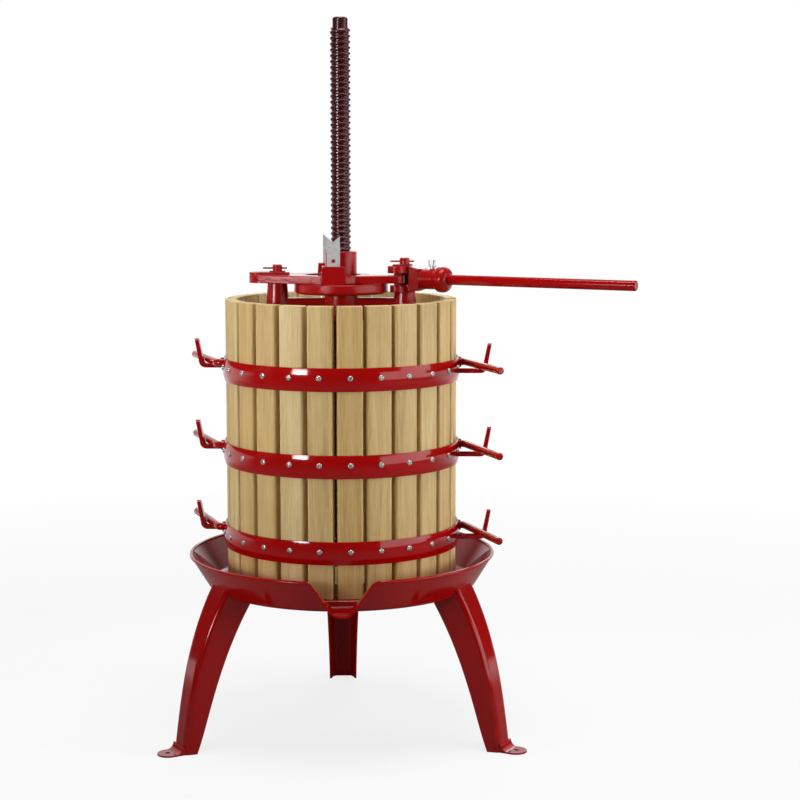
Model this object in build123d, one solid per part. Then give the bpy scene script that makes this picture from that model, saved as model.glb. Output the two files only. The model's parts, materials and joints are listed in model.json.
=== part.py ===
from build123d import *
import os
from math import cos, degrees, hypot, radians, sin, tan

# Ratchet fruit press: +Z up, ground at z = 0, screw on the Z axis, spout towards -Y, handle towards +X.
# All sizes are in millimetres.

# Screw and the nut under the tray
screw_d = 36.0
screw_top = 1272.0
screw_tip_d = 27.0
screw_tip_l = 19.0
collar_d = 70.0
collar_h = 9.0
nut_af = 55.0
nut_h = 24.0
nut_flange_d = 84.0
nut_flange_h = 4.0
run_fit = 0.05
slip_gap = 0.3

# Tray
tray_floor_top = 279.0
tray_sheet = 3.0
tray_floor_r = 211.0
tray_channel_r0 = 215.0
tray_channel_r1 = 238.0
tray_bend_r = 3.0
tray_corner_r = 14.0
tray_channel_drop = 11.0
tray_rim_r = 273.0
tray_rim_h = 43.0
tray_bead_r = 3.0
spout_half_w = 55.0
spout_floor_half_w = 13.5
spout_bend_r = 21.0
spout_shoulder_r = 20.0
spout_lip_out = 40.0
spout_drop = 1.0

# Legs
leg_azimuths = {"leg_rear": 90.0, "leg_left": 210.0, "leg_right": 330.0}
leg_sheet = 3.0
leg_foot_r = 330.0
leg_run_in = 86.0
leg_over_tray = 27.0
leg_web_top = 64.0
leg_web_foot = 42.0
leg_flare = 11.0
leg_depth_top = 62.0
leg_depth_foot = 24.0
leg_corner = 12.0
leg_toe_r = 12.0
leg_tab_w = 40.0
leg_hole_d = 9.0
leg_hole_out = 8.0
leg_hole_edge = 18.0
leg_bolt_d = 6.0
leg_bolt_head_d = 10.0
leg_bolt_head_h = 3.5
leg_bolt_span = 36.0

# Basket
stave_l = 501.0
stave_w = 43.5
stave_t = 20.0
stave_face_r = 205.0
stave_round = 4.0
staves_per_half = 12
stave_pitch = 14.5
split_azimuth = -3.0
hoop_clear = 0.5
hoop_t = 3.2
hoop_crown = 2.0
hoop_h = 40.0
hoop_crease = 11.0
hoop_end_gap = 3.0
hoop_names = ("bottom", "middle", "top")
hoop_low = 80.3
hoop_step_z = 148.5

# Closing levers and the hooks that hold them
lever_d = 13.0
lever_l = 165.0
lever_out_deg = 21.5
lever_stub_y = 14.0
lever_stub_out = 9.0
lever_bend = 8.0
lever_lift_z = 9.0
lever_boss_d = 19.0
lever_boss_out = 3.0
lever_to_hook = 58.0
hook_w = 15.0
hook_t = 7.0
hook_blade_l = 38.5
hook_lean_deg = 12.0
hook_gap = 0.5
hook_bend = 12.0

# Ratchet head
wheel_bottom = 789.5
wheel_t = 18.3
wheel_d = 167.0
wheel_round = 5.0
hub_d = 56.0
hub_h = 56.2
pocket_count = 12
pocket_r = 62.0
pocket_depth = 12.0
post_x = 113.0
foot_bottom = 745.0
foot_t = 12.0
foot_d = 140.0
post_d = 35.0
post_foot_d = 44.0
arm_w = 26.0
arm_top = 781.0
boss_d = 60.0
frame_gap = 0.5
frame_t = 14.0
frame_ring_r = 66.0
frame_lug_r = 25.0
frame_stroke = 38.0
frame_arm_r = 14.5
frame_arm_root_r = 28.0
frame_arm_root_y = -32.0
frame_opening_w = 60.0
slot_pad_h = 4.5
slot_pad_wall = 10.0
slot_wall = 8.0
link_arm = 28.0
link_pin_d = 11.0
link_play = 1.3
pivot_pin_d = 18.0
guide_pin_d = 17.0
pin_above_washer = 11.0
washer_t = 2.2
washer_d = 28.0
cotter_d = 3.2
cotter_l = 34.0
box_h = 17.7
box_w_bottom = 45.0
box_w_top = 40.0
box_depth = 32.0
dog_w = 23.0
dog_t = 12.0
dog_out = 52.0
dog_hole_d = 7.6
dog_hole_above_box = 9.0
dog_fit = 0.25
dog_front_x = 1.0
dog_rear_x = -7.0

# Handle and its socket, drawn along +X from the pivot and then turned by the rest angle
handle_rest_deg = -30.0
tine_t = 12.5
tine_clear = 3.7
tine_boss_r = 17.0
tine_lower_link_r = 12.5
fork_slot_end = 20.0
fork_block_end = 37.0
fork_block_w = 46.0
barrel_d = 36.0
barrel_end = 70.0
bell_d = 46.0
bell_u0 = 62.0
bell_u1 = 90.0
handle_d = 18.4
handle_start = 44.0
handle_end = 440.0
handle_fit = 0.06
handle_edge = 2.0
wing_u = 56.0
wing_d = 8.0
wing_rise = 15.7
wing_span = 17.0
wing_t = 3.5

# Boards that press the fruit
board_t = 22.0
board_clear = 4.0
board_split_gap = 2.0
board_hole_clear = 5.0

# Places that follow from the sizes above
tray_floor_z0 = tray_floor_top - tray_sheet
tray_rim_z = tray_floor_top + tray_rim_h
channel_top = tray_floor_top - tray_channel_drop
channel_bottom = channel_top - tray_sheet
spout_lip_r = tray_channel_r1 + spout_lip_out
leg_top = channel_bottom + leg_over_tray
leg_hole_r = leg_foot_r + leg_toe_r + leg_hole_out
leg_tab_tip_r = leg_hole_r + leg_hole_edge
leg_bolt_r = tray_channel_r0 + leg_bolt_head_d / 2 + tray_bend_r
basket_bottom = tray_floor_top + slip_gap
stave_corner_r = hypot(stave_face_r - stave_round, stave_w / 2 - stave_round) + stave_round
hoop_inner_r = stave_corner_r + hoop_clear
hoop_outer_r = hoop_inner_r + hoop_t + hoop_crown
hoop_low_z = basket_bottom + hoop_low
wheel_top = wheel_bottom + wheel_t
hub_top = wheel_top + hub_h
frame_bottom = wheel_top + frame_gap
frame_top = frame_bottom + frame_t
frame_shift = link_arm * sin(radians(handle_rest_deg))
box_top = frame_top + box_h
dog_top = box_top + dog_out
fork_low = frame_bottom - tine_clear
fork_high = frame_top + tine_clear
handle_z = (fork_low + fork_high) / 2
pocket_l = dog_w + 2.0
pocket_w = dog_t + 2.0

parts = {}
base_align = (Align.CENTER, Align.CENTER, Align.MIN)


def cyl(d, z0, z1, x=0.0, y=0.0):
    return Pos(x, y, z0) * Cylinder(d / 2, z1 - z0, align=base_align)


def cone(d0, d1, z0, z1, x=0.0, y=0.0):
    return Pos(x, y, z0) * Cone(d0 / 2, d1 / 2, z1 - z0, align=base_align)


def slab(x0, x1, y0, y1, z0, z1):
    return Pos((x0 + x1) / 2, (y0 + y1) / 2, (z0 + z1) / 2) * Box(x1 - x0, y1 - y0, z1 - z0)


def plate(face, z0, z1):
    return Pos(0, 0, z0) * extrude(face, amount=z1 - z0, dir=(0, 0, 1))


def disc(r, x=0.0, y=0.0):
    return Pos(x, y) * Circle(r)


def hull(*discs):
    edges = ShapeList([edge for one in discs for edge in one.edges()])
    return make_face(make_hull(edges))


def side_on(azimuth, shape):
    return Rot(0, 0, azimuth) * shape


# Screw with its collar and plain tip, and the flanged nut below the tray
def make_screw():
    low = tray_floor_z0 - nut_flange_h - nut_h
    rod = cyl(screw_d, low, screw_top - screw_tip_l)
    collar = cyl(collar_d, tray_floor_top, tray_floor_top + collar_h)
    collar = chamfer(collar.edges().group_by(Axis.Z)[-1], 3)
    tip = cyl(screw_tip_d, screw_top - screw_tip_l, screw_top)
    tip = chamfer(tip.edges().group_by(Axis.Z)[-1], 2)
    return rod + collar + tip


def make_screw_nut():
    flange = cyl(nut_flange_d, tray_floor_z0 - nut_flange_h, tray_floor_z0)
    hexagon = RegularPolygon(nut_af / 2, 6, major_radius=False)
    low = tray_floor_z0 - nut_flange_h - nut_h
    return flange + plate(hexagon, low, tray_floor_z0 - nut_flange_h) - cyl(screw_d + 2 * run_fit, low, tray_floor_z0)


# Pressed tray with a raised floor, a channel round it and a folded spout
def spout_hollow():
    # the space in the spout, seen from the front and open to the sky
    low = channel_top - spout_drop
    top = tray_rim_z + tray_bead_r + slip_gap
    wide, sky = 2 * spout_half_w, top + spout_half_w
    line = [(-wide, top), (-spout_half_w, top), (-spout_floor_half_w, low)]
    line += [(-x, z) for x, z in reversed(line)]
    face = make_face(Polyline(*line, (wide, sky), (-wide, sky), close=True))
    face = fillet([v for v in face.vertices() if abs(abs(v.X) - spout_floor_half_w) < 0.1], spout_bend_r)
    return fillet([v for v in face.vertices() if abs(abs(v.X) - spout_half_w) < 0.1], spout_shoulder_r)


def spout_run(face):
    back = tray_channel_r0 + 2 * tray_bend_r
    return Pos(0, -back, 0) * extrude(Plane.XZ * face, amount=2 * (spout_lip_r - back))


def make_spout():
    # a folded trough, cut off on the slope from the shoulders to the lip, that ends inside the tray wall
    shell = spout_run(offset(spout_hollow(), tray_sheet)) - spout_run(spout_hollow())
    shoulder_y = -((tray_rim_r**2 - spout_half_w**2) ** 0.5)
    low = channel_bottom - 2 * spout_drop
    side = [(0, low), (-spout_lip_r, low), (shoulder_y, tray_rim_z), (shoulder_y, tray_rim_z + 2 * tray_bead_r),
            (0, tray_rim_z + 2 * tray_bead_r)]
    half_x = spout_half_w + spout_shoulder_r / 2
    keep = Pos(-half_x, 0, 0) * extrude(Plane.YZ * make_face(Polyline(*side, close=True)), amount=2 * half_x)
    inside = [(0, channel_top), (tray_channel_r1 - tray_sheet / 2, channel_top),
              (tray_rim_r - tray_sheet / 2, tray_rim_z), (tray_rim_r - tray_sheet / 2, 2 * tray_rim_z),
              (0, 2 * tray_rim_z)]
    return (shell & keep) - revolve(Plane.XZ * make_face(Polyline(*inside, close=True)), Axis.Z)


def make_tray():
    outline = [
        (screw_d / 2 + slip_gap, tray_floor_z0),
        (tray_floor_r - tray_sheet, tray_floor_z0),
        (tray_channel_r0 - tray_sheet, channel_bottom),
        (tray_channel_r1, channel_bottom),
        (tray_rim_r, tray_rim_z),
        (tray_rim_r - tray_sheet, tray_rim_z),
        (tray_channel_r1 - tray_sheet, channel_top),
        (tray_channel_r0, channel_top),
        (tray_floor_r, tray_floor_top),
        (screw_d / 2 + slip_gap, tray_floor_top),
    ]
    section = make_face(Polyline(*outline, close=True))
    corner_r0 = tray_channel_r1 - tray_sheet - 0.1
    bends = [v for v in section.vertices() if tray_floor_r - 2 * tray_sheet < v.X < corner_r0]
    section = fillet(bends, tray_bend_r)
    inner_corner = [v for v in section.vertices() if corner_r0 < v.X < tray_channel_r1 - 0.1]
    section = fillet(inner_corner, tray_corner_r - tray_sheet)
    outer_corner = [v for v in section.vertices() if abs(v.X - tray_channel_r1) < 0.1]
    section = fillet(outer_corner, tray_corner_r)
    bowl = revolve(Plane.XZ * section, Axis.Z)
    bead = revolve(Plane.XZ * Pos(tray_rim_r - tray_sheet / 2, tray_rim_z) * Circle(tray_bead_r), Axis.Z)
    tray = bowl + bead - spout_run(spout_hollow()) + make_spout()
    for x, y in leg_bolt_places():
        tray -= cyl(leg_bolt_d + 2 * slip_gap, channel_bottom, channel_top, x, y)
    return tray


# Legs: pressed channels that narrow and curve down to a flat foot with a hole
def leg_bolt_places():
    places = []
    for azimuth in leg_azimuths.values():
        out = Vector(cos(radians(azimuth)), sin(radians(azimuth)))
        across = Vector(-out.Y, out.X)
        for side in (-0.5, 0.5):
            spot = out * leg_bolt_r + across * (side * leg_bolt_span)
            places.append((spot.X, spot.Y))
    return places


def leg_station(share):
    # share runs from 0 at the ground to 1 at the top of the leg, outside the tray wall
    z = share * leg_top
    outer = leg_foot_r - leg_run_in * (0.465 * share + 0.535 * share**3)
    web = leg_web_foot + (leg_web_top - leg_web_foot) * share**1.5
    depth = leg_depth_foot + (leg_depth_top - leg_depth_foot) * share**0.75
    return z, outer, web, depth


def leg_section(share):
    z, outer, web, depth = leg_station(share)
    edge = web / 2 + leg_flare / 2
    points = [
        (outer - depth, -edge),
        (outer, -web / 2),
        (outer, web / 2),
        (outer - depth, edge),
        (outer - depth, edge - leg_sheet),
        (outer - leg_sheet, web / 2 - leg_sheet),
        (outer - leg_sheet, -web / 2 + leg_sheet),
        (outer - depth, -edge + leg_sheet),
    ]
    section = make_face(Polyline(*points, close=True))
    outside = [v for v in section.vertices() if v.X > outer - leg_sheet / 4]
    section = fillet(outside, leg_corner)
    inside = [v for v in section.vertices() if abs(v.X - outer + leg_sheet) < leg_sheet / 4]
    section = fillet(inside, leg_corner - leg_sheet)
    return Pos(0, 0, z) * section


def make_toe():
    # the web turns out into the flat foot
    rise = leg_sheet + leg_toe_r
    back = leg_foot_r - leg_sheet
    bend_mid = leg_toe_r * (1 - 0.5**0.5)
    side = make_face(
        [
            Line((back, 0), (leg_tab_tip_r, 0)),
            Line((leg_tab_tip_r, 0), (leg_tab_tip_r, leg_sheet)),
            Line((leg_tab_tip_r, leg_sheet), (leg_foot_r + leg_toe_r, leg_sheet)),
            ThreePointArc((leg_foot_r + leg_toe_r, leg_sheet), (leg_foot_r + bend_mid, leg_sheet + bend_mid),
                          (leg_foot_r, rise)),
            Line((leg_foot_r, rise), (back, rise)),
            Line((back, rise), (back, 0)),
        ]
    )
    toe = extrude(Plane.XZ * side, amount=leg_tab_w / 2, both=True)
    outline = hull(disc(leg_tab_w / 2, leg_tab_tip_r - leg_tab_w / 2), disc(leg_tab_w / 2, back - leg_tab_w / 2))
    return (toe & plate(outline, 0, rise)) - cyl(leg_hole_d, 0, rise, leg_hole_r)


def tray_outside():
    corners = [(0, channel_bottom), (tray_channel_r1 + slip_gap, channel_bottom),
               (tray_rim_r + slip_gap, tray_rim_z), (0, tray_rim_z)]
    section = make_face(Polyline(*corners, close=True))
    corner = [v for v in section.vertices() if abs(v.X - tray_channel_r1 - slip_gap) < slip_gap / 2]
    return revolve(Plane.XZ * fillet(corner, tray_corner_r), Axis.Z)


def make_leg():
    shares = (0.0, 0.12, 0.3, 0.5, 0.7, 0.86, 1.0)
    channel = loft([leg_section(share) for share in shares])
    z, outer, web, depth = leg_station((channel_bottom - leg_sheet) / leg_top)
    top = slab(outer - depth, outer - leg_sheet / 2, leg_corner / 2 - web / 2, web / 2 - leg_corner / 2,
               channel_bottom - leg_sheet, channel_bottom)
    for side in (-0.5, 0.5):
        top -= cyl(leg_bolt_d, channel_bottom - leg_sheet, channel_bottom, leg_bolt_r, side * leg_bolt_span)
    return channel - tray_outside() + make_toe() + top


def make_leg_bolts():
    bolts = []
    for x, y in leg_bolt_places():
        head = cyl(leg_bolt_head_d, channel_top, channel_top + leg_bolt_head_h, x, y)
        head = fillet(head.edges().group_by(Axis.Z)[-1], leg_bolt_head_h * 0.6)
        shank = cyl(leg_bolt_d - 2 * run_fit, channel_bottom - 3 * leg_sheet, channel_top, x, y)
        nut = RegularPolygon(leg_bolt_head_d * 0.43, 6, major_radius=False)
        low = channel_bottom - 3 * leg_sheet
        nut = Pos(x, y) * plate(nut, low, channel_bottom - leg_sheet)
        bolts.append(head + shank + nut)
    return Compound(children=bolts)


# Basket: staves screwed inside six half hoops
def make_stave():
    board = slab(stave_face_r - stave_t, stave_face_r, -stave_w / 2, stave_w / 2,
                 basket_bottom, basket_bottom + stave_l)
    outer_long = board.edges().filter_by(Axis.Z).group_by(Axis.X)[-1]
    board = fillet(outer_long, stave_round)
    ends = board.faces().filter_by(Axis.Z)
    return chamfer(ShapeList([edge for end in ends for edge in end.edges()]), 0.8)


def half_azimuths():
    middle = (staves_per_half - 1) / 2
    return [(i - middle) * stave_pitch for i in range(staves_per_half)]


def hoop_centre(index):
    return hoop_low_z + index * hoop_step_z


def make_hoop(index):
    z = hoop_centre(index)
    edge_r = hoop_inner_r + hoop_t
    low, high = z - hoop_h / 2, z + hoop_h / 2
    crease_z = z - hoop_crease
    face = make_face(
        [
            Line((hoop_inner_r, low), (edge_r - 1, low)),
            Line((edge_r - 1, low), (edge_r + hoop_crown * 0.7, crease_z)),
            ThreePointArc(
                (edge_r + hoop_crown * 0.7, crease_z),
                (edge_r + hoop_crown, (crease_z + high) / 2),
                (edge_r, high),
            ),
            Line((edge_r, high), (hoop_inner_r, high)),
            Line((hoop_inner_r, high), (hoop_inner_r, low)),
        ]
    )
    gap_deg = degrees(hoop_end_gap / hoop_inner_r)
    band = revolve(Plane.XZ * face, Axis.Z, revolution_arc=180 - 2 * gap_deg)
    # the half runs from just past the split on +X, round by -Y, to just short of the split on -X
    band = Rot(0, 0, 180 + gap_deg) * band
    # the pivot boss of its own lever stands at the -X end
    stub_z = z + lever_lift_z
    boss = lever_axis_rod(lever_boss_d, hoop_inner_r + hoop_t / 2, hoop_outer_r + lever_boss_out, stub_z)
    bore = lever_axis_rod(lever_d + 2 * run_fit, hoop_inner_r - 5, hoop_outer_r + lever_boss_out, stub_z)
    return band + Rot(0, 0, 180) * boss - Rot(0, 0, 180) * bore


def lever_axis_rod(d, x0, x1, z):
    return Pos(x0, lever_stub_y, z) * Rot(0, 90, 0) * Cylinder(d / 2, x1 - x0, align=base_align)


def make_lever(index):
    # drawn at the +X split: the stub stands on the half behind it, the arm runs forward over the split
    z = hoop_centre(index) + lever_lift_z
    start = Vector(hoop_inner_r + 0.4, lever_stub_y, z)
    elbow = Vector(hoop_outer_r + lever_stub_out, lever_stub_y, z)
    turn = radians(lever_out_deg)
    tip = elbow + Vector(sin(turn), -cos(turn), 0) * lever_l
    path = FilletPolyline(start, elbow, tip, radius=lever_bend)
    bar = sweep(Plane(origin=start, z_dir=(1, 0, 0)) * Circle(lever_d / 2), path=path)
    return fillet(bar.edges().filter_by(GeomType.CIRCLE).sort_by(Axis.Y)[0], 2.5)


def make_hook(index):
    # a flat strip out under the lever and up outside it, on the half in front of the +X split
    turn = radians(lever_out_deg)
    reach = hoop_outer_r + lever_stub_out + lever_to_hook * sin(turn)
    across = lever_stub_y - lever_to_hook * cos(turn)
    lever_z = hoop_centre(index) + lever_lift_z
    top = lever_z - lever_d / 2 - hook_gap
    blade_x = reach + lever_d / 2 / cos(turn) + hook_w / 2 * tan(turn) + hook_gap
    lean = tan(radians(hook_lean_deg))
    strip = make_face(
        Polyline(
            (hoop_inner_r, top),
            (blade_x - lean * lever_d / 2, top),
            (blade_x + lean * hook_blade_l, lever_z + hook_blade_l),
            (blade_x + lean * hook_blade_l + hook_t, lever_z + hook_blade_l),
            (blade_x - lean * lever_d / 2 + hook_t, top - hook_t),
            (hoop_inner_r, top - hook_t),
            close=True,
        )
    )
    low_corners = [v for v in strip.vertices() if v.X > hoop_inner_r + 5 and v.Y < top - 1]
    strip = fillet(low_corners, hook_bend)
    high_corners = [v for v in strip.vertices() if abs(v.Y - top) < 0.01 and v.X > hoop_inner_r + 5]
    strip = fillet(high_corners, hook_bend - hook_t)
    hook = Pos(0, across + hook_w / 2, 0) * extrude(Plane.XZ * strip, amount=hook_w)
    tip_edges = hook.edges().filter_by(Axis.X).group_by(Axis.Z)[-1]
    return fillet(tip_edges, hook_w * 0.42)


# Head: presser foot with two posts, ratchet nut, sliding frame, dogs, pins
def make_presser():
    left, right = -post_x, post_x
    plate_face = hull(disc(foot_d / 2), disc(post_foot_d / 2, left)) + hull(disc(foot_d / 2), disc(post_foot_d / 2, right))
    foot = plate(plate_face, foot_bottom, foot_bottom + foot_t)
    foot = fillet(foot.edges().group_by(Axis.Z)[-1], 3)
    arms = slab(left, right, -arm_w / 2, arm_w / 2, foot_bottom + foot_t / 2, arm_top)
    arms = fillet(arms.edges().filter_by(Axis.X).group_by(Axis.Z)[-1], 5)
    hub = cyl(boss_d, foot_bottom + foot_t / 2, wheel_bottom - slip_gap)
    posts = cone(post_foot_d, post_d, foot_bottom + foot_t / 2, frame_bottom - slip_gap, left)
    posts += cone(post_foot_d, post_d + 3, foot_bottom + foot_t / 2, fork_low - tine_t - slip_gap, right)
    body = foot + arms + hub + posts
    body -= cyl(screw_d + 3, foot_bottom, wheel_bottom)
    body -= cyl(guide_pin_d + 2 * run_fit, foot_bottom + foot_t, frame_bottom, left)
    body -= cyl(pivot_pin_d + 2 * run_fit, foot_bottom + foot_t, frame_bottom, right)
    return body


def make_wheel():
    disc_body = cyl(wheel_d, wheel_bottom, wheel_top)
    disc_body = fillet(disc_body.edges().group_by(Axis.Z)[0], wheel_round)
    disc_body = fillet(disc_body.edges().group_by(Axis.Z)[-1], wheel_round / 3)
    hub = cyl(hub_d, wheel_top, hub_top)
    hub = fillet(hub.edges().group_by(Axis.Z)[-1], 2.5)
    wheel = disc_body + hub
    for i in range(pocket_count):
        pocket = slab(pocket_r - pocket_w / 2, pocket_r + pocket_w / 2, -pocket_l / 2, pocket_l / 2,
                      wheel_top - pocket_depth, wheel_top)
        wheel -= Rot(0, 0, 360 / pocket_count * i) * pocket
    return wheel - cyl(screw_d + 2 * run_fit, wheel_bottom, hub_top)


def slot_face(length, r, x, y=0.0, turn=0.0):
    return Pos(x, y) * Rot(0, 0, turn) * SlotCenterToCenter(length, 2 * r)


def dog_box(x, side):
    low = Pos(x, side * pocket_r, frame_bottom) * Rectangle(box_w_bottom, box_depth)
    high = Pos(x, side * pocket_r, box_top) * Rectangle(box_w_top, box_depth - 3)
    return loft([low, high])


def make_frame():
    x0 = frame_shift
    guide_r = guide_pin_d / 2 + frame_gap
    slot_x = x0 - post_x
    lug_end = slot_x - frame_stroke / 2 - guide_r - slot_wall + frame_lug_r
    link_x = post_x + x0
    link_y = -link_arm * cos(radians(handle_rest_deg))
    outline = hull(disc(frame_ring_r, x0), disc(frame_lug_r, lug_end))
    arm_x = link_x + link_pin_d / 2 + link_play + 6 - frame_arm_r
    arm_y = link_y - 1.5
    outline += hull(disc(frame_arm_root_r, x0, frame_arm_root_y), disc(frame_arm_r, arm_x, arm_y))
    body = plate(outline, frame_bottom, frame_top)
    body = fillet(body.edges().group_by(Axis.Z)[-1], 2)
    pad = slot_face(frame_stroke, guide_r + slot_pad_wall - 2, slot_x)
    body += plate(pad, frame_top, frame_top + slot_pad_h)
    for x, side in ((dog_front_x, -1), (dog_rear_x, 1)):
        body += dog_box(x0 + x, side)
    for x, side in ((dog_front_x, -1), (dog_rear_x, 1)):
        half_w, half_t = dog_w / 2 + dog_fit, dog_t / 2 + dog_fit
        y = side * pocket_r
        body -= slab(x0 + x - half_w, x0 + x + half_w, y - half_t, y + half_t, frame_bottom, box_top)
    body -= plate(slot_face(frame_stroke, frame_opening_w / 2, x0), frame_bottom, frame_top)
    body -= plate(slot_face(frame_stroke, guide_r, slot_x), frame_bottom, frame_top + slot_pad_h)
    link_slot = slot_face(link_arm * 0.24, link_pin_d / 2 + link_play, link_x, link_y - 0.2, 90)
    return body - plate(link_slot, frame_bottom, frame_top)


def make_dog(x, side):
    low = wheel_top + slip_gap
    half = dog_w / 2
    lean = -side
    # the driving face is upright, and both ends are cut back from it
    points = [
        (-lean * half, low + dog_w * 0.45),
        (lean * half, low),
        (lean * half, dog_top),
        (-lean * half, dog_top - dog_w * 0.85),
    ]
    face = make_face(Polyline(*points, close=True)) - Pos(0, box_top + dog_hole_above_box) * Circle(dog_hole_d / 2)
    blade = extrude(Plane.XZ * face, amount=dog_t / 2, both=True)
    return Pos(frame_shift + x, side * pocket_r, 0) * blade


def pin_top(seat):
    return seat + slip_gap + washer_t + pin_above_washer


def cotter_z(seat):
    return seat + slip_gap + washer_t + pin_above_washer * 0.42


def pin_seats():
    return ((-post_x, frame_top + slot_pad_h, guide_pin_d), (post_x, fork_high + tine_t, pivot_pin_d))


def make_pin(which):
    x, seat, d = pin_seats()[which]
    pin = cyl(d, foot_bottom + foot_t, pin_top(seat), x)
    pin = chamfer(pin.edges().group_by(Axis.Z)[-1], 1.5)
    hole = Pos(x, 0, cotter_z(seat)) * Rot(0, 90, 0) * Cylinder(cotter_d / 2 + run_fit, 2 * d)
    return pin - hole


def make_washers():
    return Compound(children=[
        cyl(washer_d, seat + slip_gap, seat + slip_gap + washer_t, x)
        - cyl(d + 2 * run_fit, seat, seat + 2 * washer_t, x)
        for x, seat, d in pin_seats()
    ])


def make_cotters():
    pins = []
    for x, seat, d in pin_seats():
        z = cotter_z(seat)
        rod = Pos(x, 0, z) * Rot(0, 90, 0) * Cylinder(cotter_d / 2, cotter_l)
        eye = Pos(x - cotter_l / 2 - cotter_d, 0, z) * Torus(cotter_d * 1.3, cotter_d * 0.45)
        pins.append(rod + eye)
    return Compound(children=pins)


# Socket: a fork on the pivot pin, a barrel and a bell end, turned to the rest angle about the right post
def at_handle(shape):
    return Pos(post_x, 0, 0) * Rot(0, 0, handle_rest_deg) * shape


def along_handle(d, u0, u1):
    return Pos(u0, 0, handle_z) * Rot(0, 90, 0) * Cylinder(d / 2, u1 - u0, align=base_align)


def tine(link_r, z0, z1):
    shape = hull(disc(tine_boss_r), disc(link_r, 0, -link_arm))
    shape += Pos(fork_slot_end / 2) * Rectangle(fork_slot_end, fork_block_w * 0.8)
    return plate(shape, z0, z1)


def make_socket():
    upper = tine(tine_boss_r, fork_high, fork_high + tine_t)
    lower = tine(tine_lower_link_r, fork_low - tine_t, fork_low)
    front = Pos(fork_slot_end, 0, handle_z) * Rot(0, 90, 0) * Rectangle(fork_high - fork_low + 2 * tine_t, fork_block_w)
    back = Pos(fork_block_end, 0, handle_z) * Rot(0, 90, 0) * Rectangle(barrel_d, barrel_d)
    block = loft([front, back])
    barrel = along_handle(barrel_d, fork_block_end - 4, barrel_end)
    bell = along_handle(bell_d, bell_u0, bell_u1)
    bell = fillet(bell.edges(), (bell_u1 - bell_u0) * 0.42)
    socket = upper + lower + block + barrel + bell
    socket -= along_handle(handle_d + 2 * handle_fit, handle_start, bell_u1)
    socket -= cyl(pivot_pin_d + 2 * run_fit, fork_low - tine_t, fork_high + tine_t)
    socket -= cyl(link_pin_d + 2 * run_fit, fork_low - tine_t, fork_high + tine_t, 0, -link_arm)
    socket -= cyl(wing_d + 2 * run_fit, handle_z, handle_z + barrel_d, wing_u)
    return at_handle(socket)


def make_link_pin():
    pin = cyl(link_pin_d, fork_low - tine_t, fork_high + tine_t, 0, -link_arm)
    head = cyl(link_pin_d * 1.5, fork_high + tine_t, fork_high + tine_t + 3, 0, -link_arm)
    head = fillet(head.edges().group_by(Axis.Z)[-1], 1.5)
    return at_handle(pin + head)


def make_handle():
    bar = along_handle(handle_d, handle_start + slip_gap, handle_end)
    bar = fillet(bar.edges().sort_by(Axis.X)[-1], handle_edge)
    return at_handle(bar)


def make_wing_screw():
    tip = handle_z + handle_d / 2 + slip_gap
    seat = handle_z + barrel_d / 2
    stem = cyl(wing_d, tip, seat + 5, wing_u)
    head = cyl(wing_d * 1.5, seat + 3, seat + 8, wing_u)
    wing = Polyline((wing_d * 0.3, seat + 3.5), (wing_d, seat + 5), (wing_span / 2, seat + wing_rise),
                    (wing_span / 2 - 6, seat + wing_rise), (wing_d * 0.3, seat + 8), close=True)
    wing = extrude(Plane.XZ * make_face(wing), amount=wing_t / 2, both=True)
    wings = [Pos(wing_u, 0, 0) * Rot(0, 0, turn) * wing for turn in (70, 250)]
    return at_handle(stem + head + wings[0] + wings[1])


def make_boards():
    inner = collar_d / 2 + board_hole_clear
    outer = stave_face_r - stave_t - board_clear
    low = basket_bottom
    whole = cyl(2 * outer, low, low + board_t) - cyl(2 * inner, low, low + board_t)
    halves = []
    for side in (-1, 1):
        y0, y1 = sorted((side * board_split_gap / 2, side * (outer + 1)))
        halves.append(whole & slab(-outer, outer, y0, y1, low, low + board_t))
    return Compound(children=[half.solids()[0] for half in halves])


parts["screw"] = make_screw()
parts["screw_nut"] = make_screw_nut()
parts["tray"] = make_tray()
leg = make_leg()
for name, azimuth in leg_azimuths.items():
    parts[name] = side_on(azimuth, leg)
parts["leg_bolts"] = make_leg_bolts()

stave = make_stave()
for half, centre in (("front", split_azimuth - 90), ("rear", split_azimuth + 90)):
    for number, azimuth in enumerate(half_azimuths(), start=1):
        parts[f"{half}_stave_{number:02d}"] = side_on(centre + azimuth, stave)

turns = {"front": split_azimuth, "rear": split_azimuth + 180}
for index, level in enumerate(hoop_names):
    hoop, lever = make_hoop(index), make_lever(index)
    parts[f"front_hoop_{level}"] = side_on(turns["front"], hoop)
    parts[f"rear_hoop_{level}"] = side_on(turns["rear"], hoop)
    parts[f"right_lever_{level}"] = side_on(turns["front"], lever)
    parts[f"left_lever_{level}"] = side_on(turns["rear"], lever)
hooks = [(make_hook(i) - make_hoop(i)).solids().sort_by(Axis.X)[-1] for i in range(len(hoop_names))]
for half, turn in turns.items():
    parts[f"{half}_hooks"] = Compound(children=[side_on(turn, hook) for hook in hooks])

parts["presser_foot"] = make_presser()
parts["ratchet_wheel"] = make_wheel()
parts["ratchet_frame"] = make_frame()
parts["front_dog"] = make_dog(dog_front_x, -1)
parts["rear_dog"] = make_dog(dog_rear_x, 1)
parts["guide_pin"] = make_pin(0)
parts["pivot_pin"] = make_pin(1)
parts["pin_washers"] = make_washers()
parts["cotter_pins"] = make_cotters()
parts["lever_socket"] = make_socket()
parts["link_pin"] = make_link_pin()
parts["handle_bar"] = make_handle()
parts["wing_screw"] = make_wing_screw()
parts["pressing_boards"] = make_boards()

os.makedirs("parts", exist_ok=True)
for name, shape in parts.items():
    export_step(shape, f"parts/{name}.step")
print(len(parts), "parts written")
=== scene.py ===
import json
import math

import bmesh
import bpy
from mathutils import Matrix, Vector


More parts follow.
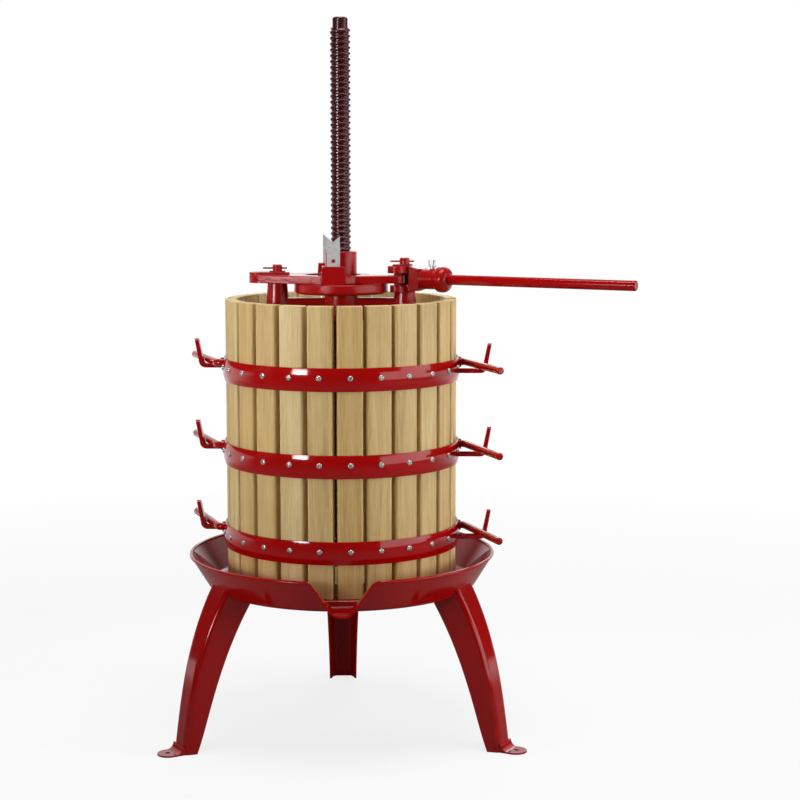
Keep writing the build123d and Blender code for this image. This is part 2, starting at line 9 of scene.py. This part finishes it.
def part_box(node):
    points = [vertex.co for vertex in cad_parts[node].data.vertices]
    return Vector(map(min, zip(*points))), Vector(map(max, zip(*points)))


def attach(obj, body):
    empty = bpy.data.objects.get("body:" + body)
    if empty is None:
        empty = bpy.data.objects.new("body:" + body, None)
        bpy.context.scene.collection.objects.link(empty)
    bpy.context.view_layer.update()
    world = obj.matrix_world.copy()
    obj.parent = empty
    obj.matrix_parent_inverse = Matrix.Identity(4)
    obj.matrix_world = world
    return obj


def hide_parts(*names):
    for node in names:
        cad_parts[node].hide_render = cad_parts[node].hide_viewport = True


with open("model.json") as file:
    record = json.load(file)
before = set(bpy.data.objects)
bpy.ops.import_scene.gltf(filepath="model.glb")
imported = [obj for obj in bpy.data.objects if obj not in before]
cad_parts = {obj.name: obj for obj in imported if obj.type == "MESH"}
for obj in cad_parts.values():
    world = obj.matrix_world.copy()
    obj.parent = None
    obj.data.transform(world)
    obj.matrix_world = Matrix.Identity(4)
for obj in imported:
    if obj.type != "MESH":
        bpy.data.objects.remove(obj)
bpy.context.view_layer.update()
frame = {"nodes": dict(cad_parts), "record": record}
print("frame loaded with", len(frame["nodes"]), "CAD nodes")


class Wire:
    # one shader socket, so that maths on it reads as plain expressions
    def __init__(self, paint, socket):
        self.paint = paint
        self.socket = socket

    def twin(self, name):  # another output of the same node
        return Wire(self.paint, self.socket.node.outputs[name])

    def math(self, operation, first, second=0.0):
        return self.paint.node("ShaderNodeMath", {"operation": operation}, {0: first, 1: second})

    def floored(self):
        return self.math("FLOOR", self)

    def __add__(self, other):
        return self.math("ADD", self, other)

    def __radd__(self, other):
        return self.math("ADD", other, self)

    def __sub__(self, other):
        return self.math("SUBTRACT", self, other)

    def __rsub__(self, other):
        return self.math("SUBTRACT", other, self)

    def __mul__(self, other):
        return self.math("MULTIPLY", self, other)

    def __rmul__(self, other):
        return self.math("MULTIPLY", other, self)

    def __truediv__(self, other):
        return self.math("DIVIDE", self, other)

    def __mod__(self, other):
        return self.math("FLOORED_MODULO", self, other)

    def __gt__(self, other):
        return self.math("GREATER_THAN", self, other)


class Paint:
    # the nodes of a material, or of the world; self.shader is its main shader
    def __init__(self, owner, shader="Principled BSDF", place="Object"):
        owner.use_nodes = True
        self.owner = owner
        self.tree = owner.node_tree
        self.shader = self.tree.nodes[shader]
        self.place = self.node("ShaderNodeTexCoord", {}, {}, place)

    def node(self, kind, settings, values, out=0):
        made = self.tree.nodes.new(kind)
        for key, value in settings.items():
            if key == "stops":
                self.setStops(made.color_ramp, value)
            else:
                setattr(made, key, value)
        for key, value in values.items():
            self.join(made.inputs[key], value)
        return Wire(self, made.outputs[out])

    def setStops(self, ramp, stops):  # stops are (position, colour) pairs
        while len(ramp.elements) < len(stops):
            ramp.elements.new(0.5)  # moved below
        for element, (position, colour) in zip(ramp.elements, stops):
            element.position = position
            element.color = (*colour, 1.0)

    def join(self, socket, value):
        if isinstance(value, Wire):
            self.tree.links.new(value.socket, socket)
        else:
            socket.default_value = value

    def set(self, **values):
        for key, value in values.items():
            self.join(self.shader.inputs[key.replace("_", " ")], value)

    def noise(self, scale, detail, rough=0.5, twist=0.0, vector=None):
        values = {"Vector": vector or self.place, "Scale": scale, "Detail": detail,
                  "Roughness": rough, "Distortion": twist}
        return self.node("ShaderNodeTexNoise", {}, values, "Fac")

    def stretch(self, vector, scale):
        return self.node("ShaderNodeMapping", {}, {"Vector": vector, "Scale": scale})

    def slope(self, value, low, high, kind="LINEAR"):  # 0 below low, 1 above high
        values = {"Value": value, "From Min": low, "From Max": high}
        return self.node("ShaderNodeMapRange", {"interpolation_type": kind}, values)

    def ramp(self, factor, stops):
        return self.node("ShaderNodeValToRGB", {"stops": stops}, {"Fac": factor})

    def blend(self, factor, first, second, kind="MIX"):
        settings = {"data_type": "RGBA", "blend_type": kind}
        return self.node("ShaderNodeMix", settings, {0: factor, 6: first, 7: second}, 2)

    def bump(self, height, strength, distance, edgeRadius=0.0):  # an edge radius softens sharp edges
        values = {"Height": height, "Strength": strength, "Distance": distance}
        if edgeRadius:
            values["Normal"] = self.node("ShaderNodeBevel", {"samples": 6}, {"Radius": edgeRadius})
        return self.node("ShaderNodeBump", {}, values)


# In the finishes below a noise is its scale and detail, then any roughness and twist; rough is the
# least roughness and what the noise adds to it; bump is its strength and height.


def setLacquer(paint, look):
    paint.set(Specular_IOR_Level=look["shine"], Coat_Weight=look["coat"], Coat_Roughness=look["coatRough"])


sheetPaint = {"red": (0.390, 0.0014, 0.0014, 1), "deep": (0.300, 0.0010, 0.0010, 1),
              "cloud": (9.0, 4.0), "smear": (30.0, 5.0), "peel": (420.0, 2.0),
              "rough": (0.05, 0.06), "bump": (0.02, 0.0006), "shine": 0.42, "coat": 0.06, "coatRough": 0.03}


def makeSheetPaint():
    paint = Paint(bpy.data.materials.new("redEnamelSheet"))
    cloud = paint.noise(*sheetPaint["cloud"])
    smear = paint.noise(*sheetPaint["smear"])
    peel = paint.noise(*sheetPaint["peel"])
    least, spread = sheetPaint["rough"]
    paint.set(Base_Color=paint.blend(cloud, sheetPaint["deep"], sheetPaint["red"]),
              Roughness=smear * spread + least,
              Normal=paint.bump(peel, *sheetPaint["bump"]))
    setLacquer(paint, sheetPaint)
    return paint.owner


castPaint = {"red": (0.380, 0.0035, 0.0040, 1), "deep": (0.270, 0.0024, 0.0028, 1),
             "cloud": (22.0, 5.0), "grit": (170.0, 6.0, 0.62), "lumps": 0.6, "edgeRadius": 0.0025,
             "rough": (0.09, 0.12), "bump": (0.34, 0.0014), "shine": 0.32, "coat": 0.05, "coatRough": 0.12}


def makeCastPaint():
    paint = Paint(bpy.data.materials.new("redEnamelCast"))
    cloud = paint.noise(*castPaint["cloud"])
    grit = paint.noise(*castPaint["grit"])
    least, spread = castPaint["rough"]
    height = grit + cloud * castPaint["lumps"]
    paint.set(Base_Color=paint.blend(cloud, castPaint["deep"], castPaint["red"]),
              Roughness=grit * spread + least,
              Normal=paint.bump(height, *castPaint["bump"], castPaint["edgeRadius"]))
    setLacquer(paint, castPaint)
    return paint.owner


screwPaint = {"dark": (0.046, 0.0035, 0.0070, 1), "worn": (0.085, 0.009, 0.013, 1),
              "wear": (70.0, 5.0), "wearStretch": (1, 1, 2.5), "wornFrom": 0.50, "wornFull": 0.72,
              "skin": (340.0, 3.0), "rough": (0.14, 0.18), "bump": (0.06, 0.0006),
              "shine": 0.35, "coat": 0.1, "coatRough": 0.08}


def makeScrewPaint():
    paint = Paint(bpy.data.materials.new("darkScrewPaint"))
    wear = paint.noise(*screwPaint["wear"], vector=paint.stretch(paint.place, screwPaint["wearStretch"]))
    worn = paint.slope(wear, screwPaint["wornFrom"], screwPaint["wornFull"])
    skin = paint.noise(*screwPaint["skin"])
    least, spread = screwPaint["rough"]
    paint.set(Base_Color=paint.blend(worn, screwPaint["dark"], screwPaint["worn"]),
              Roughness=wear * spread + least,
              Normal=paint.bump(skin, *screwPaint["bump"]))
    setLacquer(paint, screwPaint)
    return paint.owner


zincCoat = {"bright": (0.74, 0.75, 0.75, 1), "dull": (0.52, 0.53, 0.53, 1),
            "spangleScale": 190.0, "spangleShare": 0.45, "spangleRough": 0.06,
            "cloud": (60.0, 4.0), "cloudShare": 0.55, "cloudRough": 0.20,
            "skin": (300.0, 3.0), "bump": (0.05, 0.0005)}


def makeZinc(name, metal, rough):
    paint = Paint(bpy.data.materials.new(name))
    cells = {"Vector": paint.place, "Scale": zincCoat["spangleScale"]}
    colour = paint.node("ShaderNodeTexVoronoi", {}, cells, "Color")
    spangle = paint.node("ShaderNodeSeparateColor", {}, {"Color": colour})
    cloud = paint.noise(*zincCoat["cloud"])
    skin = paint.noise(*zincCoat["skin"])
    shade = spangle * zincCoat["spangleShare"] + cloud * zincCoat["cloudShare"]
    paint.set(Base_Color=paint.blend(shade, zincCoat["dull"], zincCoat["bright"]),
              Roughness=cloud * zincCoat["cloudRough"] + spangle * zincCoat["spangleRough"] + rough,
              Normal=paint.bump(skin, *zincCoat["bump"]),
              Metallic=metal)
    return paint.owner


staveRow = {"count": 12, "pitchDeg": 14.5, "frontDeg": -93.0, "rearDeg": 87.0}  # each half's middle

beech = {"grain": [(0.30, (0.390, 0.246, 0.088)), (0.46, (0.550, 0.392, 0.160)),
                   (0.62, (0.660, 0.500, 0.240))],
         "tints": [(0.0, (1.08, 1.10, 1.18)), (0.5, (1.00, 0.97, 0.90)), (1.0, (0.95, 0.86, 0.72))],
         "boardWidth": 0.09, "rearNumber": 17.0, "shift": (3.1, 5.7, 9.3), "drawnOut": 0.045,
         "fine": (420.0, 4.0, 0.6), "broad": (62.0, 5.0, 0.5, 0.6), "fineShare": 0.45, "broadShare": 0.55,
         "fleck": (900.0, 1.0), "fleckFrom": 0.66, "fleckFull": 0.74, "fleckShare": 0.35,
         "fleckColour": (0.30, 0.185, 0.080, 1), "fineHeight": 0.7, "fleckHeight": 0.3,
         "rough": (0.44, 0.22), "bump": (0.16, 0.0007)}


def staveNumber(paint):
    # each stave's own number, from its turn about z
    x = paint.node("ShaderNodeSeparateXYZ", {}, {"Vector": paint.place}, "X")
    turn = x.math("ARCTAN2", x.twin("Y"), x) * math.degrees(1.0)
    rear = turn > staveRow["rearDeg"] - 90.0
    inHalf = (turn + 180.0) % 180.0
    return (inHalf / staveRow["pitchDeg"]).floored() + rear * beech["rearNumber"]


def boardNumber(paint):
    # each board's own number, from its place along y
    y = paint.node("ShaderNodeSeparateXYZ", {}, {"Vector": paint.place}, "Y")
    return (y / beech["boardWidth"]).floored() + (y > 0.0) * beech["rearNumber"]


def makeBeech(name, numberOf, stretch):
    # every numbered piece has its own tint and its own stretch of grain
    paint = Paint(bpy.data.materials.new(name))
    tone = paint.node("ShaderNodeTexWhiteNoise", {"noise_dimensions": "1D"}, {"W": numberOf(paint)}, "Value")
    steps = {axis: tone * step for axis, step in enumerate(beech["shift"])}
    shift = paint.node("ShaderNodeCombineXYZ", {}, steps)
    moved = paint.node("ShaderNodeVectorMath", {"operation": "ADD"}, {0: paint.place, 1: shift})
    lines = paint.stretch(moved, stretch)
    fine = paint.noise(*beech["fine"], vector=lines)
    broad = paint.noise(*beech["broad"], vector=lines)
    fleck = paint.noise(*beech["fleck"], vector=lines)
    wood = paint.ramp(broad * beech["broadShare"] + fine * beech["fineShare"], beech["grain"])
    tinted = paint.blend(1.0, wood, paint.ramp(tone, beech["tints"]), "MULTIPLY")
    specks = paint.slope(fleck, beech["fleckFrom"], beech["fleckFull"])
    least, spread = beech["rough"]
    height = fine * beech["fineHeight"] + fleck * beech["fleckHeight"]
    paint.set(Base_Color=paint.blend(specks * beech["fleckShare"], tinted, beech["fleckColour"]),
              Roughness=fine * spread + least,
              Normal=paint.bump(height, *beech["bump"]))
    return paint.owner


finishes = {
    "sheet": makeSheetPaint(),
    "cast": makeCastPaint(),
    "dark": makeScrewPaint(),
    "zinc": makeZinc("zincCoat", metal=0.40, rough=0.24),
    "screwHead": makeZinc("zincScrewHead", metal=0.75, rough=0.12),
    "stave": makeBeech("beechStaves", staveNumber, stretch=(1.0, 1.0, beech["drawnOut"])),
    "board": makeBeech("beechBoards", boardNumber, stretch=(beech["drawnOut"], 1.0, 1.0)),
}
nodeFinish = {"boards": "board", "bar": "sheet", "hooks": "sheet"}  # by the last word of the node's name
slotFinish = {"red_sheet": "sheet", "red_cast": "cast", "dark_screw": "dark", "zinc": "zinc",
              "beech": "stave"}
for part in frame["record"]["subparts"]:
    solid = frame["nodes"][part["node"]]
    look = nodeFinish.get(part["node"].split("_")[-1], slotFinish[part["material_slot"]])
    if "_lever_" in part["node"]:
        look = "sheet"
    solid.data.materials.clear()
    solid.data.materials.append(finishes[look])
print("finishes set on the CAD nodes")


softEdgeDeg = 40.0  # an edge that turns more than this stays sharp
weld = 1e-6


def finishPiece(bm, name, look, body):
    # closes a bmesh into a piece at the origin, smooth but for its sharp edges
    bmesh.ops.recalc_face_normals(bm, faces=bm.faces)
    for face in bm.faces:
        face.smooth = True
    for edge in bm.edges:
        edge.smooth = edge.is_manifold and edge.calc_face_angle(0.0) < math.radians(softEdgeDeg)
    mesh = bpy.data.meshes.new(name)
    bm.to_mesh(mesh)
    bm.free()
    mesh.materials.append(finishes[look])
    piece = bpy.data.objects.new(name, mesh)
    bpy.context.scene.collection.objects.link(piece)
    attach(piece, body)
    return piece


def allOf(bm):
    return list(bm.verts) + list(bm.edges) + list(bm.faces)


def vertsOf(result):
    return [element for element in result["geom"] if isinstance(element, bmesh.types.BMVert)]


def openEdges(bm):
    return [edge for edge in bm.edges if edge.is_boundary]


def spinProfile(bm, profile, steps, lead=0.0):
    # one turn about z of a line through (radius, height) points, a helix where it has a lead
    points = [bm.verts.new((radius, 0.0, height)) for radius, height in profile]
    edges = [bm.edges.new(pair) for pair in zip(points, points[1:])]
    bmesh.ops.spin(bm, geom=points + edges, cent=(0, 0, 0), axis=(0, 0, 1), dvec=(0, 0, lead / steps),
                   angle=2 * math.pi, steps=steps, use_merge=lead == 0.0)


def addTurned(bm, profile, steps):
    # a closed round solid, whose profile starts and ends on the axis
    before = set(bm.verts)
    spinProfile(bm, profile, steps)
    made = [vert for vert in bm.verts if vert not in before]
    bmesh.ops.remove_doubles(bm, verts=made, dist=weld)


screwShape = {"pitch": 0.010, "crest": 0.0180, "root": 0.0157, "soft": 0.0005,
              "land": 0.0036, "flank": 0.0016, "steps": 36, "turnWeld": 1e-5,
              "tipLength": 0.019, "tipRadius": 0.0135, "tipBevel": 0.002, "tipSunk": 0.001,
              "collarRadius": 0.035, "collarHeight": 0.009, "collarBevel": 0.003, "collarSteps": 48,
              "staveGap": 0.0003}  # how far the staves stand over the tray floor


def addThread(bm, bottom, top):
    pitch, crest, root, soft = (screwShape[key] for key in ("pitch", "crest", "root", "soft"))
    land = screwShape["land"]
    down = land + screwShape["flank"]
    up = pitch - screwShape["flank"]
    heights = [0.0, soft, land - soft, land, down, down + soft, up - soft, up, pitch]
    radii = [crest - soft, crest, crest, crest - soft, root + soft, root, root, root + soft, crest - soft]
    start = bottom - pitch
    spinProfile(bm, [(r, start + h) for r, h in zip(radii, heights)], screwShape["steps"], lead=pitch)
    turns = 1
    while start + turns * pitch < top + pitch:  # one turn of thread, doubled until it is long enough
        copy = bmesh.ops.duplicate(bm, geom=allOf(bm))
        bmesh.ops.translate(bm, vec=(0, 0, turns * pitch), verts=vertsOf(copy))
        turns *= 2
    bmesh.ops.remove_doubles(bm, verts=bm.verts, dist=screwShape["turnWeld"])
    for level, side in ((top, 1), (bottom, -1)):  # cut level at both ends
        bmesh.ops.bisect_plane(bm, geom=allOf(bm), dist=weld, plane_co=(0, 0, level), plane_no=(0, 0, side),
                               clear_outer=True)
        bmesh.ops.holes_fill(bm, edges=openEdges(bm), sides=0)


def bevelledDisc(radius, low, high, bevel):
    return [(0, low), (radius, low), (radius, high - bevel), (radius - bevel, high), (0, high)]


def makeScrew():
    low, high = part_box("screw")
    top = high.z - screwShape["tipLength"]
    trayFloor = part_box("front_stave_01")[0].z - screwShape["staveGap"]  # the collar stands on it
    collarTop = trayFloor + screwShape["collarHeight"]
    tip = bevelledDisc(screwShape["tipRadius"], top - screwShape["tipSunk"], high.z, screwShape["tipBevel"])
    collar = bevelledDisc(screwShape["collarRadius"], trayFloor, collarTop, screwShape["collarBevel"])
    bm = bmesh.new()
    addThread(bm, low.z, top)
    addTurned(bm, tip, screwShape["steps"])
    addTurned(bm, collar, screwShape["collarSteps"])
    piece = finishPiece(bm, "threadedScrew", "dark", "base")
    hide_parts("screw")
    print("screw threaded from", round(low.z, 3), "to", round(top, 3))


makeScrew()

hoopScrew = {"radius": 0.0048, "rise": 0.0026, "rim": 0.0006, "sunk": 0.001, "steps": 24,
             "dome": [(0.93, 0.50), (0.80, 0.82)],  # shares of the radius, and of the rise over the rim
             "recess": 0.0013, "arm": 0.0026, "slot": 0.00075, "twistDeg": 37,
             "aboveMiddle": 0.003, "seatRadius": 0.2113}


def makeCrossHead():
    # one domed head with a cross recess, drawn along +z
    wide, rise, rim, slot, arm = (hoopScrew[key] for key in ("radius", "rise", "rim", "slot", "arm"))
    levels = [0.0, slot, (slot + arm) / 2, arm]  # where the grid's lines go, out from the middle
    bm = bmesh.new()
    bmesh.ops.create_grid(bm, x_segments=6, y_segments=6, size=3.0)  # lines at -3 to 3, then moved
    for vert in bm.verts:
        column, row = round(vert.co.x), round(vert.co.y)
        vert.co = (math.copysign(levels[abs(column)], column), math.copysign(levels[abs(row)], row), rise)
    middles = [(face, face.calc_center_median()) for face in bm.faces]
    cross = [face for face, middle in middles if min(abs(middle.x), abs(middle.y)) < slot]
    gridLoop = openEdges(bm)
    dome = [(wide * out, rim + (rise - rim) * up) for out, up in hoopScrew["dome"]]
    spinProfile(bm, [(wide, -hoopScrew["sunk"]), (wide, rim)] + dome, hoopScrew["steps"])
    domeLoop = [edge for edge in openEdges(bm) if edge not in gridLoop and edge.verts[0].co.z > rim]
    bmesh.ops.bridge_loops(bm, edges=domeLoop + gridLoop)
    pressed = bmesh.ops.extrude_face_region(bm, geom=cross)
    bmesh.ops.translate(bm, vec=(0, 0, -hoopScrew["recess"]), verts=vertsOf(pressed))
    bmesh.ops.delete(bm, geom=cross, context="FACES")  # the lid over the recess
    bmesh.ops.holes_fill(bm, edges=openEdges(bm), sides=0)  # the seat under the head
    bmesh.ops.recalc_face_normals(bm, faces=bm.faces)
    mesh = bpy.data.meshes.new("crossHead")
    bm.to_mesh(mesh)
    bm.free()
    return mesh


def makeHoopScrewRow(head, half, level, middleDeg):
    low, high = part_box(half + "_hoop_" + level)
    height = (low.z + high.z) / 2 + hoopScrew["aboveMiddle"]
    seat = Matrix.Translation((hoopScrew["seatRadius"], 0, height)) @ Matrix.Rotation(math.pi / 2, 4, "Y")
    bm = bmesh.new()
    for number in range(staveRow["count"]):
        fromMiddle = number - (staveRow["count"] - 1) / 2
        turn = Matrix.Rotation(math.radians(middleDeg + fromMiddle * staveRow["pitchDeg"]), 4, "Z")
        twist = Matrix.Rotation(math.radians(number * hoopScrew["twistDeg"] % 90), 4, "Z")
        before = len(bm.verts)
        bm.from_mesh(head)
        bm.verts.ensure_lookup_table()
        bmesh.ops.transform(bm, matrix=turn @ seat @ twist, verts=bm.verts[before:])
    finishPiece(bm, half + "HoopScrews" + level.capitalize(), "screwHead", "base")


def makeHoopScrews():
    head = makeCrossHead()
    for level in ("bottom", "middle", "top"):
        for half in ("front", "rear"):
            makeHoopScrewRow(head, half, level, staveRow[half + "Deg"])
    bpy.data.meshes.remove(head)
    print("hoop screws set in six rows")


makeHoopScrews()

# pale floor and soft studio light
studio = {"floorSize": 60.0, "floorDrop": 0.0005, "clearRadius": 1.1, "fadeRadius": 2.6, "floorWhite": 0.80,
          "floorGrey": (0.30, 0.30, 0.30, 1), "floorPale": (0.95, 0.95, 0.95, 1), "floorBehind": 1.5,
          "floorRough": 0.9, "floorShine": 0.1, "ambient": 0.18, "room": 0.05, "white": (1, 1, 1, 1),
          "roomEdge": 0.70, "backEdge": 0.94, "sweepLow": 0.22, "sweepHigh": 0.50}


def makeFloorPaint():
    # the camera sees it nearly white, with the shadow; mirror rays meet grey, and white far behind
    paint = Paint(bpy.data.materials.new("paleFloor"))
    camera = paint.node("ShaderNodeLightPath", {}, {}, "Is Camera Ray")
    glossy = camera.twin("Is Glossy Ray")
    through = camera.twin("Is Transmission Ray")
    away = paint.node("ShaderNodeVectorMath", {"operation": "LENGTH"}, {0: paint.place}, "Value")
    fade = paint.slope(away, studio["clearRadius"], studio["fadeRadius"])
    y = paint.node("ShaderNodeSeparateXYZ", {}, {"Vector": paint.place}, "Y")
    behind = paint.slope(y, 0.0, studio["floorBehind"])
    paint.set(Base_Color=paint.blend(camera, studio["floorGrey"], studio["floorPale"]),
              Roughness=studio["floorRough"], Specular_IOR_Level=studio["floorShine"])
    white = paint.node("ShaderNodeEmission", {}, {"Color": studio["white"], "Strength": 1.0})
    seen = (camera + through) * (fade * (1.0 - studio["floorWhite"]) + studio["floorWhite"])
    shader = Wire(paint, paint.shader.outputs[0])
    mixed = paint.node("ShaderNodeMixShader", {}, {0: seen + glossy * fade * behind, 1: shader, 2: white})
    paint.join(paint.tree.nodes["Material Output"].inputs["Surface"], mixed)
    return paint.owner


def makeFloor():
    bm = bmesh.new()
    bmesh.ops.create_grid(bm, x_segments=2, y_segments=2, size=studio["floorSize"] / 2)
    bmesh.ops.translate(bm, vec=(0, 0, -studio["floorDrop"]), verts=bm.verts)
    mesh = bpy.data.meshes.new("studioFloor")
    bm.to_mesh(mesh)
    bm.free()
    mesh.materials.append(makeFloorPaint())
    floor = bpy.data.objects.new("studioFloor", mesh)
    bpy.context.scene.collection.objects.link(floor)


def makeWorld():
    # the camera sees white all round; mirror rays meet a white backdrop that curves over from behind,
    # and a dim room elsewhere
    world = bpy.data.worlds.new("studioAir")
    bpy.context.scene.world = world
    air = Paint(world, "Background", "Generated")
    y = air.node("ShaderNodeSeparateXYZ", {}, {"Vector": air.place}, "Y")
    wall = air.slope(y, studio["roomEdge"], studio["backEdge"], "SMOOTHSTEP")
    wall = wall * (1.0 - studio["room"]) + studio["room"]
    above = air.slope(y.twin("Z"), studio["sweepLow"], studio["sweepHigh"], "SMOOTHSTEP")
    behind = air.slope(y, studio["sweepLow"], studio["sweepHigh"], "SMOOTHSTEP")
    backdrop = wall + (1.0 - wall) * above * behind
    camera = air.node("ShaderNodeLightPath", {}, {}, "Is Camera Ray")
    glossy = camera.twin("Is Glossy Ray")
    seen = camera + camera.twin("Is Transmission Ray")
    light = (1.0 - seen - glossy) * studio["ambient"]
    air.set(Color=studio["white"], Strength=seen + glossy * backdrop + light)


lamps = {
    "keyLeft": {"at": (-2.14, -2.64, 1.15), "aim": (0, 0, 0.86), "size": (0.9, 0.6),
                "watts": 1.8, "spreadDeg": 30, "mirrored": True},
    "fillRight": {"at": (3.32, -0.87, 1.1), "aim": (0, 0, 0.86), "size": (2.2, 1.8),
                  "watts": 29, "spreadDeg": 180, "mirrored": True},
    "lowRight": {"at": (2.47, -2.34, 0.65), "aim": (0, 0, 0.65), "size": (1.25, 0.9),
                 "watts": 8, "spreadDeg": 180, "mirrored": True},
    "sideLeft": {"at": (-3.35, -0.59, 1.2), "aim": (0, 0, 0.86), "size": (1.4, 1.6),
                 "watts": 3.3, "spreadDeg": 30, "mirrored": False},
    "sideRight": {"at": (3.37, -0.47, 1.2), "aim": (0, 0, 0.86), "size": (1.4, 1.6),
                  "watts": 4.6, "spreadDeg": 30, "mirrored": False},
    "overhead": {"at": (0.1, -0.5, 3.4), "aim": (0, 0, 0.6), "size": (2.0, 1.6),
                 "watts": 58, "spreadDeg": 180, "mirrored": True},
    "behind": {"at": (0.6, 3.0, 2.2), "aim": (0, 0, 0.7), "size": (2.0, 1.6),
               "watts": 22, "spreadDeg": 180, "mirrored": True},
}


def makeLamps():
    for name, lamp in lamps.items():
        light = bpy.data.lights.new(name, "AREA")
        light.shape = "RECTANGLE"
        light.size, light.size_y = lamp["size"]
        light.energy = lamp["watts"]
        light.spread = math.radians(lamp["spreadDeg"])
        holder = bpy.data.objects.new(name, light)
        holder.visible_glossy = lamp["mirrored"]
        holder.location = lamp["at"]
        towards = Vector(lamp["aim"]) - Vector(lamp["at"])
        holder.rotation_euler = towards.to_track_quat("-Z", "Y").to_euler()
        bpy.context.scene.collection.objects.link(holder)


view = {"at": (0.0120, -3.3675, 1.0197), "yawDeg": 1.579, "pitchDeg": 7.154, "lens": 85.16,
        "sensor": 36.0, "reach": 200.0}


def makeCamera():
    camera = bpy.data.cameras.new("photoCamera")
    camera.sensor_width = view["sensor"]
    camera.lens = view["lens"]
    camera.clip_end = view["reach"]
    holder = bpy.data.objects.new("photoCamera", camera)
    holder.location = view["at"]
    holder.rotation_euler = (math.radians(90 - view["pitchDeg"]), 0, math.radians(-view["yawDeg"]))
    bpy.context.scene.collection.objects.link(holder)
    bpy.context.scene.camera = holder


makeFloor()
makeWorld()
makeLamps()
makeCamera()
bpy.context.scene.view_settings.view_transform = "Standard"
print("studio, lamps and camera set")
